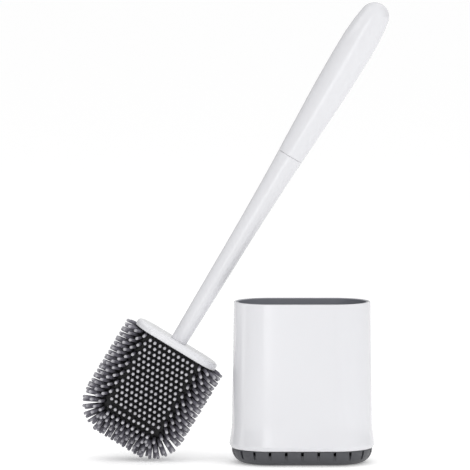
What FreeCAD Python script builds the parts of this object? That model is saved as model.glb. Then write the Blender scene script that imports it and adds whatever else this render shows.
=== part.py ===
import FreeCAD, Part
import Sketcher
import math
import os

# A toilet brush and its holder, in millimetres. +Z is up and the origin is the middle of the
# holder's underside, on the floor. The brush stands beside the holder and leans towards it.

SIZES = [
    # holder: every level is a stadium of the same straight length, and only its end radius changes.
    # The liner is sized round the brush head, the base round the liner, and the shell round the base.
    ("well_gap", 5.425, "room in the liner in front of the bristles' tips and behind them"),
    ("well_end_gap", 1.1, "further room in the liner at each end of the brush head"),
    ("liner_wall", 1.5, "wall of the liner"),
    ("liner_clearance", 0.3, "clearance between the liner and the base's spigot"),
    ("liner_drop", 0.3, "how far the liner's edge lies below the shell's rim"),
    ("liner_lip", 2.0, "height of the liner's lip, which bears on the shell"),
    ("liner_floor", 1.8, "thickness of the liner's floor"),
    ("liner_round", 4.0, "inner rounding between the liner's wall and floor"),
    ("drain_count", 9, "drain slots in the liner's floor"),
    ("drain_pitch", 10.0, "spacing of the drain slots"),
    ("drain_width", 3.0, "width of a drain slot"),
    ("drain_length", 32.0, "length of a drain slot"),
    ("rim_z", 136.4, "height of the holder's rim"),
    ("rim_round", 0.8, "rounding of the shell's rim"),
    ("shell_wall", 1.7, "wall of the shell"),
    ("shell_gap", 0.3, "gap between the base's shoulder and the shell and liner above it"),
    ("shell_taper", 1.8, "how much the shell's end radius grows from the rim to the flare"),
    ("flare_rise", 12.7, "height of the flare above the skirt's widest line"),
    ("flare_step", 2.1, "how much the shell's end radius grows down the flare"),
    ("skirt_rise", 3.1, "height of the skirt's widest line above its lower edge"),
    ("skirt_turn_r", 3.2, "radius of the skirt's turned-in lower edge"),
    ("skirt_turn_in", 1.9, "how far the lower edge turns in from the widest line"),
    ("skirt_overhang", 2.2, "how far the skirt's widest line stands out from the base"),
    ("lip_clearance", 0.3, "clearance between the shell's lower lip and the base's spigot"),
    # base
    ("base_top", 12.6, "height of the base's shoulder"),
    ("shoulder_width", 1.775, "width of the base's shoulder, outside its spigot"),
    ("base_wall", 2.2, "wall and floor of the base"),
    ("spigot_wall", 1.7, "wall of the base's spigot"),
    ("spigot_rise", 12.0, "height of the spigot above the shoulder"),
    ("vent_pitch", 13.6, "spacing of the vent slots along the outline"),
    ("vent_per_side", 5, "vent slots on each side of the middle one, front and back"),
    ("vent_width", 2.3, "width of a vent slot"),
    ("vent_bottom", 4.5, "lower end of a vent slot"),
    ("vent_bridge", 0.6, "upright edge of the base, above the vent slots and the bowl's rounding"),
    ("vent_overcut", 0.6, "how far a vent slot is cut past the base's wall"),
    # brush, in its own frame: +Z along the handle, from the middle of the plate's top face
    ("plate_length", 77.6, "length of the head's plate"),
    ("plate_depth", 35.0, "depth of the plate from front to back"),
    ("plate_thick", 6.3, "thickness of the plate"),
    ("plate_round", 2.6, "rounding of the plate's edges"),
    ("rod_foot_r", 7.05, "rod's radius where it stands on the plate"),
    ("rod_mid_r", 8.55, "rod's radius where its flare starts"),
    ("rod_mid_z", 95.0, "height where the rod's flare starts"),
    ("rod_top_r", 11.15, "rod's radius at the seam"),
    ("rod_flare_r", 3140.0, "radius of the rod's flare, along its length"),
    ("seam_z", 182.6, "height of the seam between rod and grip"),
    ("seam_gap", 0.2, "open width of the seam"),
    ("rod_bore_r", 4.6, "radius of the rod's bore"),
    ("rod_bore_foot", 12.0, "lower end of the rod's bore"),
    ("stud_r", 4.4, "radius of the rod's stud in the head"),
    ("stud_length", 30.0, "length of the stud below the plate's top face"),
    ("tenon_r", 7.2, "radius of the rod's tenon in the grip"),
    ("tenon_length", 22.0, "length of the tenon above the seam"),
    ("screw_clearance", 0.1, "radial clearance of the stud and the tenon"),
    ("socket_depth", 1.0, "room in a socket past the end of what goes into it"),
    ("seam_step", 0.1, "how much wider the grip is than the rod at the seam"),
    ("grip_swell_r", 13.75, "grip's radius where its swell starts"),
    ("grip_swell_z", 235.0, "height where the grip's swell starts"),
    ("grip_max_r", 15.0, "grip's greatest radius"),
    ("grip_max_z", 290.3, "height of the grip's greatest radius"),
    ("grip_swell_arc", 1200.0, "radius of the swell below the greatest radius"),
    ("grip_crown_arc", 180.0, "radius of the side above the greatest radius"),
    ("grip_dome_r", 12.4, "radius of the domed end"),
    ("grip_wall", 2.4, "wall of the grip"),
    # head: a flat core, a skin on it, and bristles that stand out from the skin all round
    ("bone_half_width", 25.4, "half width of the head's middle surface"),
    ("bone_drop", 80.0, "lower edge of the middle surface, below the plate's top face"),
    ("bone_corner", 7.5, "corner radius of the middle surface"),
    ("core_half", 5.8, "half thickness of the core"),
    ("skin_half", 8.0, "half thickness of the skin"),
    ("tip_half", 22.0, "reach of the bristles' tips from the middle surface"),
    ("edge_flat", 0.1, "flat strip left on each rounded side of the head"),
    ("bristle_gap", 1.0, "gap between the plate and the first bristles"),
    ("field_half_width", 24.4, "half width of the front and back bristle fields"),
    ("field_drop", 79.0, "lower edge of the front and back fields, below the plate's top face"),
    ("field_gap", 0.3, "gap between bristle fields"),
    # how the brush stands
    ("lean", 31.02, "lean of the brush from the vertical, towards the holder"),
    ("twist", -3.04, "turn of the brush about its own axis"),
    ("stand_x", -104.0, "sideways place of the plate's top face"),
    ("stand_y", 17.0, "place of the brush's middle plane behind the holder's"),
    ("floor_gap", 0.1, "clearance under the lowest bristles"),
    # making
    ("cut_past", 1.0, "how far a cutter passes the face that it opens"),
]

doc = FreeCAD.newDocument("ToiletBrush")
sheet = doc.addObject("Spreadsheet::Sheet", "Sizes")
for row, (alias, value, meaning) in enumerate(SIZES, 1):
    sheet.set(f"A{row}", meaning)
    sheet.set(f"B{row}", str(value))
    sheet.setAlias(f"B{row}", alias)
doc.recompute()

NAMES = {alias for alias, _, _ in SIZES}


def bound(formula):
    """A formula in the sheet's aliases, written as the document's expressions need it."""
    out = ""
    word = ""
    for letter in formula + " ":
        if letter.isalnum() or letter == "_":
            word += letter
            continue
        out += f"Sizes.{word}" if word in NAMES else word
        out += letter
        word = ""
    return out.strip()


def size(formula):
    """The value of a formula in the sheet's aliases."""
    value = sheet.evalExpression(bound(formula))
    return float(getattr(value, "Value", value))


def origin_plane(body, role):
    return next(f for f in body.Origin.OriginFeatures if f.Role == role)


def add_body(label):
    body = doc.addObject("PartDesign::Body", label)
    body.Label = label
    return body


def arc_between(start, end, radius, bulge):
    """The shorter arc from start to end, bulging to the left (1) or right (-1) of that direction.
    Gives the arc and which of its ends is the start."""
    chord = end - start
    middle = (start + end) / 2
    left = FreeCAD.Vector(-chord.y, chord.x, 0).normalize()
    rise = math.sqrt(radius ** 2 - (chord.Length / 2) ** 2)
    centre = middle - left * (rise * bulge)
    angles = [math.atan2(p.y - centre.y, p.x - centre.x) for p in (start, end)]
    clockwise = bulge > 0
    first, last = (angles[1], angles[0]) if clockwise else (angles[0], angles[1])
    circle = Part.Circle(centre, FreeCAD.Vector(0, 0, 1), radius)
    return Part.ArcOfCircle(circle, first, last), (2, 1) if clockwise else (1, 2)


def pin_point(sketch, geo, end, axis, formula):
    """Hold one coordinate of a point at the formula's value."""
    value = size(formula)
    kind = "DistanceX" if axis == "x" else "DistanceY"
    if abs(value) < 1e-9:
        on_axis = -2 if axis == "x" else -1
        sketch.addConstraint(Sketcher.Constraint("PointOnObject", geo, end, on_axis))
        return
    if value > 0:
        at = sketch.addConstraint(Sketcher.Constraint(kind, -1, 1, geo, end, value))
        sketch.setExpression(f"Constraints[{at}]", bound(formula))
    else:
        at = sketch.addConstraint(Sketcher.Constraint(kind, geo, end, -1, 1, -value))
        sketch.setExpression(f"Constraints[{at}]", bound(f"-({formula})"))


def add_outline(body, name, role, corners, offset=None):
    """A closed sketch. Each corner is (x, y) or (x, y, radius, bulge), all formulas in the sheet's
    aliases but the bulge: with a radius, an arc runs from this corner to the next."""
    sketch = body.newObject("Sketcher::SketchObject", name)
    sketch.AttachmentSupport = [(origin_plane(body, role), "")]
    sketch.MapMode = "FlatFace"
    if offset:
        sketch.setExpression("AttachmentOffset.Base.z", bound(offset))
    points = [FreeCAD.Vector(size(c[0]), size(c[1]), 0) for c in corners]
    ends = []
    for index, corner in enumerate(corners):
        start, end = points[index], points[(index + 1) % len(points)]
        if len(corner) == 4:
            arc, order = arc_between(start, end, size(corner[2]), corner[3])
            sketch.addGeometry(arc)
            ends.append(order)
        else:
            sketch.addGeometry(Part.LineSegment(start, end))
            ends.append((1, 2))
    for index, corner in enumerate(corners):
        before = index - 1 if index else len(corners) - 1
        sketch.addConstraint(
            Sketcher.Constraint("Coincident", before, ends[before][1], index, ends[index][0])
        )
        pin_point(sketch, index, ends[index][0], "x", corner[0])
        pin_point(sketch, index, ends[index][0], "y", corner[1])
        if len(corner) == 4:
            at = sketch.addConstraint(Sketcher.Constraint("Radius", index, size(corner[2])))
            sketch.setExpression(f"Constraints[{at}]", bound(corner[2]))
    return sketch


def stadium_ring(label, half_flat, corners):
    """A body with the same profile all round a stadium outline. The profile's x is the distance
    from the line that joins the two end centres, and its y is the height."""
    body = add_body(label)
    profile = add_outline(body, label + "_profile", "YZ_Plane", corners, half_flat)
    end = body.newObject("PartDesign::Revolution", label + "_end")
    end.Profile = profile
    end.ReferenceAxis = (profile, ["V_Axis"])
    end.Angle = 180
    end.Reversed = True
    side = body.newObject("PartDesign::Pad", label + "_side")
    side.Profile = profile
    side.setExpression("Length", bound(f"2 * {half_flat}"))
    side.Reversed = True
    other_end = body.newObject("PartDesign::Mirrored", label + "_other_end")
    other_end.Originals = [end]
    other_end.MirrorPlane = (origin_plane(body, "YZ_Plane"), [""])
    body.Tip = other_end
    other_side = body.newObject("PartDesign::Mirrored", label + "_other_side")
    other_side.Originals = [side]
    other_side.MirrorPlane = (origin_plane(body, "XZ_Plane"), [""])
    body.Tip = other_side
    return body


def turned(label, corners):
    """A body turned about its own Z axis. The profile's x is the radius and its y is the height."""
    body = add_body(label)
    profile = add_outline(body, label + "_profile", "XZ_Plane", corners)
    turn = body.newObject("PartDesign::Revolution", label + "_turn")
    turn.Profile = profile
    turn.ReferenceAxis = (profile, ["V_Axis"])
    turn.Angle = 360
    body.Tip = turn
    return body


def paddle(label, half_thick, top):
    """A flat paddle with rounded sides and lower edge, half_thick out from the middle surface."""
    width = f"(bone_half_width + {half_thick})"
    corner = f"(bone_corner + {half_thick})"
    bottom = f"-(bone_drop + {half_thick})"
    corners = [
        (f"-{width}", f"-({top})"),
        (f"-{width}", f"{bottom} + {corner}", corner, -1),
        (f"-{width} + {corner}", bottom),
        (f"{width} - {corner}", bottom, corner, -1),
        (width, f"{bottom} + {corner}"),
        (width, f"-({top})"),
    ]
    body = add_body(label)
    outline = add_outline(body, label + "_outline", "XZ_Plane", corners, f"-{half_thick}")
    slab = body.newObject("PartDesign::Pad", label + "_slab")
    slab.Profile = outline
    slab.setExpression("Length", bound(f"2 * {half_thick}"))
    doc.recompute()
    half, level = size(half_thick), -size(top)
    rounded = []
    for number, edge in enumerate(slab.Shape.Edges, 1):
        on_a_face = all(abs(abs(v.Y) - half) < 1e-6 for v in edge.Vertexes)
        along_the_top = all(abs(v.Z - level) < 1e-6 for v in edge.Vertexes)
        if on_a_face and not along_the_top:
            rounded.append(f"Edge{number}")
    fillet = body.newObject("PartDesign::Fillet", label + "_round")
    fillet.Base = (slab, rounded)
    fillet.setExpression("Radius", bound(f"{half_thick} - edge_flat"))
    body.Tip = fillet
    return body


def stand_brush(piece):
    """Put a brush piece where the brush stands: leaning, with its lowest bristles at the floor."""
    drop = "(bone_drop - bone_corner) * cos(lean * 1 deg)"
    side = "(bone_half_width - bone_corner) * sin(lean * 1 deg)"
    height = f"floor_gap + {drop} + {side} + bone_corner + tip_half"
    lean = "create(<<rotation>>; vector(0; 1; 0); lean)"
    twist = "create(<<rotation>>; vector(0; 0; 1); twist)"
    piece.setExpression("Placement", bound(
        f"create(<<placement>>; vector(stand_x; stand_y; {height}); {lean} * {twist})"
    ))


def brush_box(label, low, high):
    """A box in the brush's own frame, from the formulas of its low and high corners."""
    box = doc.addObject("Part::Box", label)
    for axis, length in enumerate(("Length", "Width", "Height")):
        box.setExpression(length, bound(f"({high[axis]}) - ({low[axis]})"))
        box.setExpression(f"Placement.Base.{'xyz'[axis]}", bound(low[axis]))
    return box


# ---------------------------------------------------------------- holder

half_flat = "(bone_half_width + well_end_gap)"
liner_in = "(tip_half + well_gap)"
liner_out = f"({liner_in} + liner_wall)"
spigot_in = f"({liner_out} + liner_clearance)"
spigot_out = f"({spigot_in} + spigot_wall)"
lip_in = f"({spigot_out} + lip_clearance)"
base_out = f"({spigot_out} + shoulder_width)"
skirt_out = f"({base_out} + skirt_overhang)"
flare_out = f"({skirt_out} - flare_step)"
rim_out = f"({flare_out} - shell_taper)"
foot_z = "(base_top + shell_gap)"
skirt_z = f"({foot_z} + skirt_rise)"
flare_z = f"({skirt_z} + flare_rise)"
bowl_round = "(base_top - vent_bridge)"


def make_outer_shell():
    """White outer moulding: a tube that widens downwards, with a skirt turned in at its foot."""
    return stadium_ring("outer_shell", half_flat, [
        (lip_in, foot_z),
        (f"{skirt_out} - skirt_turn_in", foot_z, "skirt_turn_r", -1),
        (skirt_out, skirt_z),
        (flare_out, flare_z),
        (rim_out, "rim_z - rim_round", "rim_round", -1),
        (f"{rim_out} - rim_round", "rim_z"),
        (f"{rim_out} - shell_wall", "rim_z"),
        (f"{flare_out} - shell_wall", flare_z),
        (f"{skirt_out} - shell_wall", skirt_z),
        (lip_in, f"{foot_z} + shell_wall"),
    ])


def make_inner_liner():
    """Dark cup inside the shell, with drain slots in its floor."""
    lip_out = f"{rim_out} - shell_wall"
    lip_top = "rim_z - liner_drop"
    floor_top = f"{foot_z} + liner_floor"
    cup = stadium_ring("inner_liner", half_flat, [
        ("0", foot_z),
        (liner_out, foot_z),
        (liner_out, f"{lip_top} - liner_lip"),
        (lip_out, f"{lip_top} - liner_lip"),
        (lip_out, lip_top),
        (liner_in, lip_top),
        (liner_in, f"{floor_top} + liner_round", "liner_round", -1),
        (f"{liner_in} - liner_round", floor_top),
        ("0", floor_top),
    ])
    first = "-(drain_count - 1) / 2 * drain_pitch"
    slot = add_outline(cup, "drain_outline", "XY_Plane", [
        (f"{first} - drain_width / 2", "-drain_length / 2"),
        (f"{first} + drain_width / 2", "-drain_length / 2"),
        (f"{first} + drain_width / 2", "drain_length / 2"),
        (f"{first} - drain_width / 2", "drain_length / 2"),
    ], floor_top)
    pocket = cup.newObject("PartDesign::Pocket", "drain_slot")
    pocket.Profile = slot
    pocket.setExpression("Length", bound("liner_floor + cut_past"))
    doc.recompute()
    row = cup.newObject("PartDesign::LinearPattern", "drain_slots")
    row.Originals = [pocket]
    row.Direction = (slot, ["H_Axis"])
    row.setExpression("Length", bound("(drain_count - 1) * drain_pitch"))
    row.setExpression("Occurrences", bound("drain_count"))
    cup.Tip = row
    return cup


def vent_cutter(number, facing, step):
    """A box that cuts one vent slot, square to the base's outline, in front (-1) or behind (1)."""
    reach = size(base_out)
    inner = size(f"{base_out} - base_wall - vent_overcut")
    along = step * size("vent_pitch")
    centre_x = max(-size(half_flat), min(size(half_flat), along))
    turned_past = math.degrees((along - centre_x) / reach)
    turn = FreeCAD.Rotation(FreeCAD.Vector(0, 0, 1), facing * (90 - turned_past))
    corner = FreeCAD.Vector(inner, -size("vent_width") / 2, size("vent_bottom"))
    cutter = doc.addObject("Part::Box", f"vent_cutter_{number}")
    cutter.setExpression("Length", bound("base_wall + vent_overcut + cut_past"))
    cutter.setExpression("Width", bound("vent_width"))
    cutter.setExpression("Height", bound(f"{bowl_round} - vent_bottom"))
    centre = FreeCAD.Vector(centre_x, 0, 0)
    cutter.Placement = FreeCAD.Placement(centre + turn.multVec(corner), turn)
    return cutter


def make_vented_base():
    """Dark drip bowl with a spigot for the shell, and vent slots round its wall."""
    under = f"{base_out} - {bowl_round}"
    bowl = stadium_ring("base_bowl", half_flat, [
        ("0", "0"),
        (under, "0", bowl_round, -1),
        (base_out, bowl_round),
        (base_out, "base_top"),
        (spigot_out, "base_top"),
        (spigot_out, "base_top + spigot_rise"),
        (spigot_in, "base_top + spigot_rise"),
        (spigot_in, bowl_round),
        (f"{base_out} - base_wall", bowl_round, f"{bowl_round} - base_wall", 1),
        (under, "base_wall"),
        ("0", "base_wall"),
    ])
    per_side = int(size("vent_per_side"))
    places = [(facing, step) for facing in (-1, 1) for step in range(-per_side, per_side + 1)]
    slots = doc.addObject("Part::Compound", "vent_cutters")
    slots.Links = [vent_cutter(number, *place) for number, place in enumerate(places)]
    base = doc.addObject("Part::Cut", "vented_base")
    base.Base = bowl
    base.Tool = slots
    return base


# ---------------------------------------------------------------- brush


def make_grip():
    """White hollow handle with a domed end."""
    socket = "tenon_r + screw_clearance"
    socket_top = "seam_z + tenon_length + socket_depth"
    foot = "rod_top_r + seam_step"
    crown = "grip_crown_arc - grip_max_r"
    rise = f"sqrt((grip_crown_arc - grip_dome_r)^2 - ({crown})^2)"
    reach = "grip_crown_arc / (grip_crown_arc - grip_dome_r)"
    dome_edge_z = f"grip_max_z + {rise} * {reach}"
    dome_edge_r = f"({crown}) * ({reach} - 1)"
    return turned("grip", [
        (socket, "seam_z + seam_gap"),
        (foot, "seam_z + seam_gap"),
        ("grip_swell_r", "grip_swell_z", "grip_swell_arc", -1),
        ("grip_max_r", "grip_max_z", "grip_crown_arc", -1),
        (dome_edge_r, dome_edge_z, "grip_dome_r", -1),
        ("0", f"grip_max_z + {rise} + grip_dome_r"),
        ("0", f"grip_max_z + {rise} + grip_dome_r - grip_wall", "grip_dome_r - grip_wall", 1),
        ("grip_dome_r - grip_wall", f"grip_max_z + {rise}"),
        ("grip_max_r - grip_wall", "grip_max_z"),
        ("grip_swell_r - grip_wall", "grip_swell_z"),
        (socket, socket_top),
    ])


def make_rod():
    """White hollow rod: a stud for the head, a foot on the plate and a tenon for the grip."""
    return turned("rod", [
        ("0", "-stud_length"),
        ("stud_r", "-stud_length"),
        ("stud_r", "0"),
        ("rod_foot_r", "0"),
        ("rod_mid_r", "rod_mid_z", "rod_flare_r", 1),
        ("rod_top_r", "seam_z"),
        ("tenon_r", "seam_z"),
        ("tenon_r", "seam_z + tenon_length"),
        ("rod_bore_r", "seam_z + tenon_length"),
        ("rod_bore_r", "rod_bore_foot"),
        ("0", "rod_bore_foot"),
    ])


def make_head_plate():
    """White plate between the rod and the head."""
    half = "plate_depth / 2"
    plate = stadium_ring("head_plate", "((plate_length - plate_depth) / 2)", [
        ("0", "-plate_thick"),
        (f"{half} - plate_round", "-plate_thick", "plate_round", -1),
        (half, "-plate_thick + plate_round"),
        (half, "-plate_round", "plate_round", -1),
        (f"{half} - plate_round", "0"),
        ("0", "0"),
    ])
    hole = plate.newObject("Sketcher::SketchObject", "stud_hole_outline")
    hole.AttachmentSupport = [(origin_plane(plate, "XY_Plane"), "")]
    hole.MapMode = "FlatFace"
    hole.addGeometry(Part.Circle(FreeCAD.Vector(), FreeCAD.Vector(0, 0, 1), size("stud_r")))
    hole.addConstraint(Sketcher.Constraint("Coincident", 0, 3, -1, 1))
    at = hole.addConstraint(Sketcher.Constraint("Radius", 0, size("stud_r + screw_clearance")))
    hole.setExpression(f"Constraints[{at}]", bound("stud_r + screw_clearance"))
    pocket = plate.newObject("PartDesign::Pocket", "stud_hole")
    pocket.Profile = hole
    pocket.Type = "ThroughAll"
    plate.Tip = pocket
    return plate


def make_head():
    """The stiff core, the soft skin on it, and the space that each bristle field fills."""
    blank = paddle("core_blank", "core_half", "plate_thick")
    skin_blank = paddle("skin_blank", "skin_half", "plate_thick")
    tips = paddle("tip_envelope", "tip_half", "plate_thick + bristle_gap")

    socket = doc.addObject("Part::Cylinder", "stud_socket")
    socket.setExpression("Radius", bound("stud_r + screw_clearance"))
    socket.setExpression("Height", bound("stud_length + socket_depth"))
    socket.setExpression("Placement.Base.z", bound("-(stud_length + socket_depth)"))
    core = doc.addObject("Part::Cut", "head_core")
    core.Base = blank
    core.Tool = socket

    sleeve = doc.addObject("Part::Cut", "head_sleeve")
    sleeve.Base = skin_blank
    sleeve.Tool = blank

    top = "-(plate_thick + bristle_gap)"
    bottom = "-(bone_drop + tip_half)"
    wide = "(bone_half_width + tip_half)"
    zones = {
        "front_bristles": (("-field_half_width", "-tip_half", "-field_drop"),
                           ("field_half_width", "0", top)),
        "back_bristles": (("-field_half_width", "0", "-field_drop"),
                          ("field_half_width", "tip_half", top)),
        "left_bristles": ((f"-{wide}", "-tip_half", bottom),
                          ("-field_half_width - field_gap", "tip_half", top)),
        "right_bristles": (("field_half_width + field_gap", "-tip_half", bottom),
                           (wide, "tip_half", top)),
        "bottom_bristles": (("-field_half_width", "-tip_half", bottom),
                            ("field_half_width", "tip_half", "-field_drop - field_gap")),
    }
    fields = []
    for name, (low, high) in zones.items():
        part_of_tips = doc.addObject("Part::Common", name + "_space")
        part_of_tips.Base = tips
        part_of_tips.Tool = brush_box(name + "_zone", low, high)
        field = doc.addObject("Part::Cut", name)
        field.Base = part_of_tips
        field.Tool = skin_blank
        fields.append(field)
    return [core, sleeve] + fields


holder_pieces = [make_outer_shell(), make_inner_liner(), make_vented_base()]
brush_pieces = [make_grip(), make_rod(), make_head_plate()] + make_head()
doc.recompute()
for piece in brush_pieces:
    piece.Label = piece.Name
    stand_brush(piece)
doc.recompute()

for item in doc.Objects:
    if "Invalid" in item.State or "Error" in item.State:
        raise RuntimeError(f"{item.Name} could not be computed: {item.State}")

os.makedirs("parts", exist_ok=True)
for piece in holder_pieces + brush_pieces:
    shape = piece.Shape
    if shape.isNull() or not shape.isValid() or not shape.Solids:
        raise RuntimeError(f"{piece.Label} is not a valid solid")
    shape.exportStep(os.path.join("parts", piece.Label + ".step"))
    box = shape.optimalBoundingBox(False, False)
    print(f"{piece.Label}: {len(shape.Solids)} solid, {shape.Volume / 1000:.1f} cm3, "
          f"x {box.XMin:.1f} to {box.XMax:.1f}, y {box.YMin:.1f} to {box.YMax:.1f}, "
          f"z {box.ZMin:.1f} to {box.ZMax:.1f}")
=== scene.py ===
import math
import bmesh
import bpy
from mathutils import Matrix, Vector


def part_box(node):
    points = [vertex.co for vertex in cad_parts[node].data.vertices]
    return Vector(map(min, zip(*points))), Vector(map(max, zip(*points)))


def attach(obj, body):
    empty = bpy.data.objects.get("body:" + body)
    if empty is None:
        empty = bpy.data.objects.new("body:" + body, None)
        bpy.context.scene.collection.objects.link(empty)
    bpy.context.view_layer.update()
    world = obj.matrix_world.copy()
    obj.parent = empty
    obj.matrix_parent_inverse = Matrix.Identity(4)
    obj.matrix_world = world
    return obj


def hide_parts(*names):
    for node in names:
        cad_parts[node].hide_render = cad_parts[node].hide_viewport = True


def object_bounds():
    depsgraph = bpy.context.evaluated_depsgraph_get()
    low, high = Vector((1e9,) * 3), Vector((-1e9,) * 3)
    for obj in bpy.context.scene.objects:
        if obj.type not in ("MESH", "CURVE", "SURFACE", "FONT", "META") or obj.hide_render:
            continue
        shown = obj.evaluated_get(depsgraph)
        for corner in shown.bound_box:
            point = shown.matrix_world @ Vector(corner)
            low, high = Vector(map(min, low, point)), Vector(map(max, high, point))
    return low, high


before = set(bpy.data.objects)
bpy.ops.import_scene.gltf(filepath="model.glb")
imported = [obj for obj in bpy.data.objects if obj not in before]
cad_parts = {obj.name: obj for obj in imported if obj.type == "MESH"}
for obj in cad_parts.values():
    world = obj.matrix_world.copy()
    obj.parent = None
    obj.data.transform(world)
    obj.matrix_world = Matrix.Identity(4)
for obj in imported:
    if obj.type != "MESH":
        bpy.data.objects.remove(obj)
CAD_BOX = [list(corner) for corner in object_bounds()]

bl_info = {
    "name": "Toilet Brush and Holder",
    "version": (1, 0, 0),
    "blender": (4, 5, 0),
    "location": "View3D > Sidebar > Brush Set",
    "description": "Builds the pieces of a soft-bristled toilet brush and of its vented holder",
    "category": "Object",
}

FRONT, BACK, UP = Vector((0, -1, 0)), Vector((0, 1, 0)), Vector((0, 0, 1))
ARC_STEP = math.radians(8)        # turn between two points of a rounded corner
SHARP_TURN = math.radians(38)     # edges that turn more than this are shaded as creases
SAME_POINT = 1e-7                 # points of a swept mesh nearer than this are one
SAME_CUT_POINT = 2e-6             # the same for a mesh that a cut has left


# ---- settings


def setting(kind, **shared):
    """A maker of settings of one kind, each with its name, description and default."""
    def make(name, description, default):
        return kind(name=name, description=description, default=default, **shared)
    return make


length = setting(bpy.props.FloatProperty, min=0.0, precision=5, unit="LENGTH")
angle = setting(bpy.props.FloatProperty, unit="ROTATION")
share = setting(bpy.props.FloatProperty, min=0.0, max=1.0, subtype="FACTOR")
strength = setting(bpy.props.FloatProperty, min=0.0)
power = setting(bpy.props.FloatProperty, min=0.0, unit="POWER")
focal = setting(bpy.props.FloatProperty, min=1.0, unit="CAMERA")
number = setting(bpy.props.IntProperty, min=1)
colour = setting(bpy.props.FloatVectorProperty, min=0.0, max=1.0, subtype="COLOR")


class HolderSizes(bpy.types.PropertyGroup):
    """Sizes of the holder's mouldings, beside those that the frame's boxes give."""

    shell_wall: length("Shell wall", "Wall of the shell", 0.0017)
    shell_taper: length("Shell taper", "Growth of the shell's end radius down to the flare", 0.0018)
    rim_round: length("Rim rounding", "Rounding of the rim's outer edge", 0.0008)
    flare_rise: length("Flare height", "Height of the flare above the widest line", 0.0127)
    flare_step: length("Flare step", "Growth of the end radius down the flare", 0.0021)
    flare_blend: length("Flare blend", "Radius that blends the wall into the flare", 0.13)
    skirt_rise: length("Skirt height", "Height of the widest line above the lower edge", 0.0031)
    skirt_turn_in: length("Skirt turn-in", "How far the lower edge turns in", 0.0019)
    skirt_round: length("Skirt rounding", "Rounding of the widest line", 0.0024)
    lip_reach: length("Lip reach", "Inner end radius of the shell's lower lip", 0.031225)
    liner_wall: length("Liner wall", "Wall of the liner", 0.0015)
    liner_floor: length("Liner floor", "Thickness of the liner's floor", 0.0018)
    liner_lip: length("Liner lip", "Height of the liner's lip", 0.002)
    liner_step: length("Liner step", "How far the liner's lip stands out", 0.000375)
    liner_round: length("Liner rounding", "Rounding between wall and floor inside the liner", 0.004)
    drain_pitch: length("Drain pitch", "Spacing of the drain slots", 0.010)
    drain_width: length("Drain width", "Width of a drain slot", 0.003)
    drain_length: length("Drain length", "Length of a drain slot", 0.032)
    drains_per_side: number("Drains per side", "Drain slots on each side of the middle one", 4)
    base_shoulder: length("Shoulder height", "Height of the base's shoulder", 0.0126)
    base_bridge: length("Base edge", "Upright edge above the base's rounding", 0.0006)
    base_wall: length("Base wall", "Wall and floor of the base", 0.0022)
    shoulder_width: length("Shoulder width", "Width of the base's shoulder", 0.001775)
    spigot_wall: length("Spigot wall", "Wall of the base's spigot", 0.0017)
    vent_pitch: length("Vent pitch", "Spacing of the vent slots along the outline", 0.0136)
    vent_width: length("Vent width", "Width of a vent slot", 0.0023)
    vent_bottom: length("Vent foot", "Height of the lower end of a vent slot", 0.0045)
    vent_overcut: length("Vent overcut", "How far a vent slot is cut past the wall", 0.0006)
    vents_per_side: number("Vents per side", "Vent slots on each side of the middle one", 5)
    edge_round: length("Edge rounding", "Small rounding of moulded edges", 0.0003)


class BrushSizes(bpy.types.PropertyGroup):
    """Sizes of the brush in its own frame, with +Z along the handle from the plate's top face."""

    lean: angle("Lean", "Lean of the brush from the vertical", math.radians(31.02))
    twist: angle("Twist", "Turn of the brush about its own axis", math.radians(-3.04))
    plate_length: length("Plate length", "Length of the head's plate", 0.0776)
    plate_depth: length("Plate depth", "Depth of the plate from front to back", 0.035)
    plate_thick: length("Plate thickness", "Thickness of the plate", 0.0063)
    plate_round: length("Plate rounding", "Rounding of the plate's upper edge", 0.0050)
    plate_lip: length("Plate lip", "Rounding of the plate's lower edge", 0.0007)
    rod_foot: length("Rod foot", "Rod's radius on the plate", 0.00705)
    rod_middle: length("Rod middle", "Rod's radius where it starts to flare", 0.00855)
    rod_middle_z: length("Flare start", "Height where the rod starts to flare", 0.095)
    rod_top: length("Rod top", "Rod's radius at the seam", 0.01115)
    rod_flare: length("Rod flare", "Radius of the rod's flare along its length", 3.14)
    rod_bore: length("Rod bore", "Radius of the rod's bore", 0.0046)
    rod_bore_foot: length("Bore foot", "Lower end of the rod's bore", 0.012)
    stud: length("Stud", "Radius of the rod's stud in the head", 0.0044)
    stud_length: length("Stud length", "Length of the stud below the plate's top face", 0.03)
    tenon: length("Tenon", "Radius of the rod's tenon in the grip", 0.0072)
    tenon_length: length("Tenon length", "Length of the tenon above the seam", 0.022)
    fit_gap: length("Fit", "Radial clearance of the stud and the tenon", 0.0001)
    seam_z: length("Seam height", "Height of the seam between rod and grip", 0.1826)
    seam_gap: length("Seam", "Open width of the seam", 0.0002)
    grip_foot: length("Grip foot", "Grip's radius at the seam", 0.01125)
    grip_swell: length("Grip swell", "Grip's radius where its swell starts", 0.01375)
    grip_swell_z: length("Swell start", "Height where the grip's swell starts", 0.235)
    grip_most: length("Grip at its widest", "Grip's greatest radius", 0.015)
    grip_most_z: length("Widest height", "Height of the grip's greatest radius", 0.29027)
    grip_swell_arc: length("Swell arc", "Radius of the side below the widest line", 1.2)
    grip_crown_arc: length("Crown arc", "Radius of the side above the widest line", 0.18)
    grip_dome: length("Grip dome", "Radius of the domed end", 0.0124)
    grip_wall: length("Grip wall", "Wall of the grip", 0.0024)
    edge_round: length("Edge rounding", "Rounding of the edges at the seam", 0.00035)


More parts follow.
